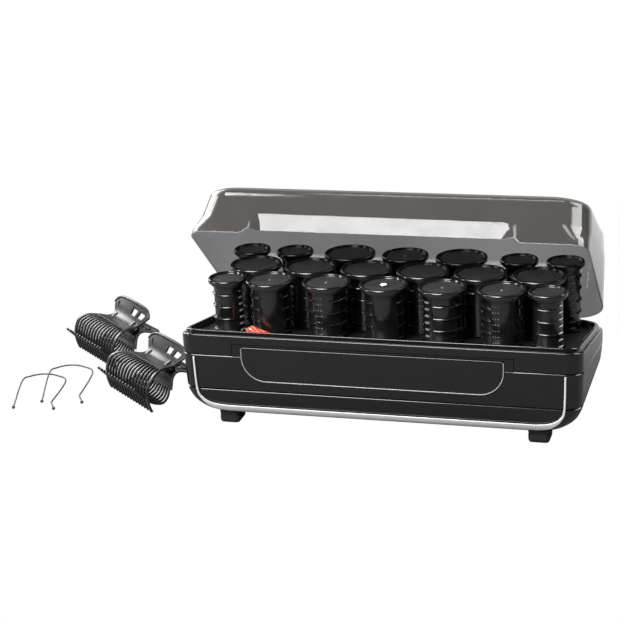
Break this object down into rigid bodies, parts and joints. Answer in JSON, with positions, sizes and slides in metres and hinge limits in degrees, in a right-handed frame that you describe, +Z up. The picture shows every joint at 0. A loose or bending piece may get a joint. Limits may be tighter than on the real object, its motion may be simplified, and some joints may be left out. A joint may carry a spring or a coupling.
{
  "type": "heated roller set",
  "caption": "Heated hair roller set: sloping black base with heating posts, three rows of flanged rollers under a hinged smoked lid, with claw clips and wire pins",
  "frame": {"origin": "centre of the whole set's bounding box in plan, at the height of the surface it stands on", "axes": "+X to the right along the base's long side, +Y towards the lid's hinge, +Z up"},
  "size_m": [0.41, 0.159, 0.1481],
  "materials": {
    "housing_gloss_black": "moulded gloss black ABS with a light reflection along its edges",
    "deck_black": "moulded black heat-resistant plastic, lightly textured",
    "silver_trim": "satin silver lacquer",
    "black_rubber": "matte black rubber",
    "plated_steel": "zinc-plated steel",
    "heater_aluminium": "cast aluminium, matte",
    "mica_board": "mica board heater, brown",
    "ivory_nylon": "ivory nylon",
    "red_lens": "glossy translucent red",
    "smoked_clear": "clear smoked polycarbonate, polished",
    "roller_black": "gloss black moulded plastic with ribs and a matte sunk cap",
    "ready_cream": "cream heat-sensitive dot",
    "clip_charcoal": "satin charcoal moulded plastic",
    "spring_steel": "spring steel wire",
    "pin_wire": "dark enamelled spring wire with round tips"
  },
  "bodies": {
    "base": {"bottom_pan": "housing_gloss_black", "housing": "housing_gloss_black", "upper_bezel": "housing_gloss_black", "front_panel": "housing_gloss_black", "roller_deck": "deck_black", "switch_body": "deck_black", "trim_band": "silver_trim", "foot_front_left": "black_rubber", "foot_front_right": "black_rubber", "foot_rear_left": "black_rubber", "foot_rear_right": "black_rubber", "cord_inlet": "black_rubber", "case_screw_1": "plated_steel", "case_screw_2": "plated_steel", "case_screw_3": "plated_steel", "case_screw_4": "plated_steel", "hinge_pin_left": "plated_steel", "hinge_pin_right": "plated_steel", "thermostat": "plated_steel", "thermal_fuse": "plated_steel", "heater_plate": "heater_aluminium", "heating_element": "mica_board", "terminal_block": "ivory_nylon"},
    "lid": {"lid": "smoked_clear"},
    "power_rocker": {"switch_rocker": "red_lens"},
    "roller_front_1": {"roller_front_1": "roller_black"},
    "roller_front_2": {"roller_front_2": "roller_black"},
    "roller_front_3": {"roller_front_3": "roller_black"},
    "roller_front_4": {"roller_front_4": "roller_black", "ready_dot": "ready_cream"},
    "roller_front_5": {"roller_front_5": "roller_black"},
    "roller_front_6": {"roller_front_6": "roller_black"},
    "roller_front_7": {"roller_front_7": "roller_black"},
    "roller_middle_1": {"roller_middle_1": "roller_black"},
    "roller_middle_2": {"roller_middle_2": "roller_black"},
    "roller_middle_3": {"roller_middle_3": "roller_black"},
    "roller_middle_4": {"roller_middle_4": "roller_black"},
    "roller_middle_5": {"roller_middle_5": "roller_black"},
    "roller_middle_6": {"roller_middle_6": "roller_black"},
    "roller_back_1": {"roller_back_1": "roller_black"},
    "roller_back_2": {"roller_back_2": "roller_black"},
    "roller_back_3": {"roller_back_3": "roller_black"},
    "roller_back_4": {"roller_back_4": "roller_black"},
    "roller_back_5": {"roller_back_5": "roller_black"},
    "roller_back_6": {"roller_back_6": "roller_black"},
    "roller_back_7": {"roller_back_7": "roller_black"},
    "clip_1": {"clip_1_jaw_lower": "clip_charcoal", "clip_1_spring": "spring_steel", "clip_1_hinge_pin": "spring_steel"},
    "clip_1_upper": {"clip_1_jaw_upper": "clip_charcoal"},
    "clip_2": {"clip_2_jaw_lower": "clip_charcoal", "clip_2_spring": "spring_steel", "clip_2_hinge_pin": "spring_steel"},
    "clip_2_upper": {"clip_2_jaw_upper": "clip_charcoal"},
    "wire_pin_1": {"wire_pin_1": "pin_wire"},
    "wire_pin_2": {"wire_pin_2": "pin_wire"}
  },
  "joints": [
    {"name": "lid_hinge", "type": "hinge", "parent": "base", "child": "lid", "pos_m": [0.07202, 0.04747, 0.04229], "axis": [-1, 0, 0], "range_deg": [-31, 65]},
    {"name": "power_rocker_tilt", "type": "hinge", "parent": "base", "child": "power_rocker", "pos_m": [-0.00898, -0.06603, 0.06145], "axis": [0, -1, 0], "range_deg": [0, 11]},
    {"name": "roller_front_1_lift", "type": "slide", "parent": "base", "child": "roller_front_1", "axis": [0, 0, 1], "range_m": [0, 0.026]},
    {"name": "roller_front_2_lift", "type": "slide", "parent": "base", "child": "roller_front_2", "axis": [0, 0, 1], "range_m": [0, 0.026]},
    {"name": "roller_front_3_lift", "type": "slide", "parent": "base", "child": "roller_front_3", "axis": [0, 0, 1], "range_m": [0, 0.026]},
    {"name": "roller_front_4_lift", "type": "slide", "parent": "base", "child": "roller_front_4", "axis": [0, 0, 1], "range_m": [0, 0.026]},
    {"name": "roller_front_5_lift", "type": "slide", "parent": "base", "child": "roller_front_5", "axis": [0, 0, 1], "range_m": [0, 0.026]},
    {"name": "roller_front_6_lift", "type": "slide", "parent": "base", "child": "roller_front_6", "axis": [0, 0, 1], "range_m": [0, 0.026]},
    {"name": "roller_front_7_lift", "type": "slide", "parent": "base", "child": "roller_front_7", "axis": [0, 0, 1], "range_m": [0, 0.026]},
    {"name": "roller_middle_1_lift", "type": "slide", "parent": "base", "child": "roller_middle_1", "axis": [0, 0, 1], "range_m": [0, 0.03]},
    {"name": "roller_middle_2_lift", "type": "slide", "parent": "base", "child": "roller_middle_2", "axis": [0, 0, 1], "range_m": [0, 0.03]},
    {"name": "roller_middle_3_lift", "type": "slide", "parent": "base", "child": "roller_middle_3", "axis": [0, 0, 1], "range_m": [0, 0.03]},
    {"name": "roller_middle_4_lift", "type": "slide", "parent": "base", "child": "roller_middle_4", "axis": [0, 0, 1], "range_m": [0, 0.03]},
    {"name": "roller_middle_5_lift", "type": "slide", "parent": "base", "child": "roller_middle_5", "axis": [0, 0, 1], "range_m": [0, 0.03]},
    {"name": "roller_middle_6_lift", "type": "slide", "parent": "base", "child": "roller_middle_6", "axis": [0, 0, 1], "range_m": [0, 0.03]},
    {"name": "roller_back_1_lift", "type": "slide", "parent": "base", "child": "roller_back_1", "axis": [0, 0, 1], "range_m": [0, 0.015]},
    {"name": "roller_back_2_lift", "type": "slide", "parent": "base", "child": "roller_back_2", "axis": [0, 0, 1], "range_m": [0, 0.015]},
    {"name": "roller_back_3_lift", "type": "slide", "parent": "base", "child": "roller_back_3", "axis": [0, 0, 1], "range_m": [0, 0.015]},
    {"name": "roller_back_4_lift", "type": "slide", "parent": "base", "child": "roller_back_4", "axis": [0, 0, 1], "range_m": [0, 0.015]},
    {"name": "roller_back_5_lift", "type": "slide", "parent": "base", "child": "roller_back_5", "axis": [0, 0, 1], "range_m": [0, 0.015]},
    {"name": "roller_back_6_lift", "type": "slide", "parent": "base", "child": "roller_back_6", "axis": [0, 0, 1], "range_m": [0, 0.015]},
    {"name": "roller_back_7_lift", "type": "slide", "parent": "base", "child": "roller_back_7", "axis": [0, 0, 1], "range_m": [0, 0.015]},
    {"name": "clip_1_lift", "type": "slide", "parent": "base", "child": "clip_1", "axis": [0, 0, 1], "range_m": [0, 0.05]},
    {"name": "clip_1_squeeze", "type": "hinge", "parent": "clip_1", "child": "clip_1_upper", "pos_m": [-0.15092, 0.04816, 0.0215], "axis": [-0.7547, 0.6561, 0], "range_deg": [0, 42], "stiffness_Nm_per_rad": 0.05, "springref_deg": -20.05},
    {"name": "clip_2_lift", "type": "slide", "parent": "base", "child": "clip_2", "axis": [0, 0, 1], "range_m": [0, 0.05]},
    {"name": "clip_2_squeeze", "type": "hinge", "parent": "clip_2", "child": "clip_2_upper", "pos_m": [-0.09692, -0.02323, 0.0215], "axis": [-0.7547, 0.6561, 0], "range_deg": [0, 42], "stiffness_Nm_per_rad": 0.05, "springref_deg": -20.05},
    {"name": "wire_pin_1_slide", "type": "slide", "parent": "base", "child": "wire_pin_1", "axis": [-0.3, 0.9539, 0], "range_m": [0, 0.028]},
    {"name": "wire_pin_2_lift", "type": "slide", "parent": "base", "child": "wire_pin_2", "axis": [0, 0, 1], "range_m": [0, 0.04]}
  ]
}
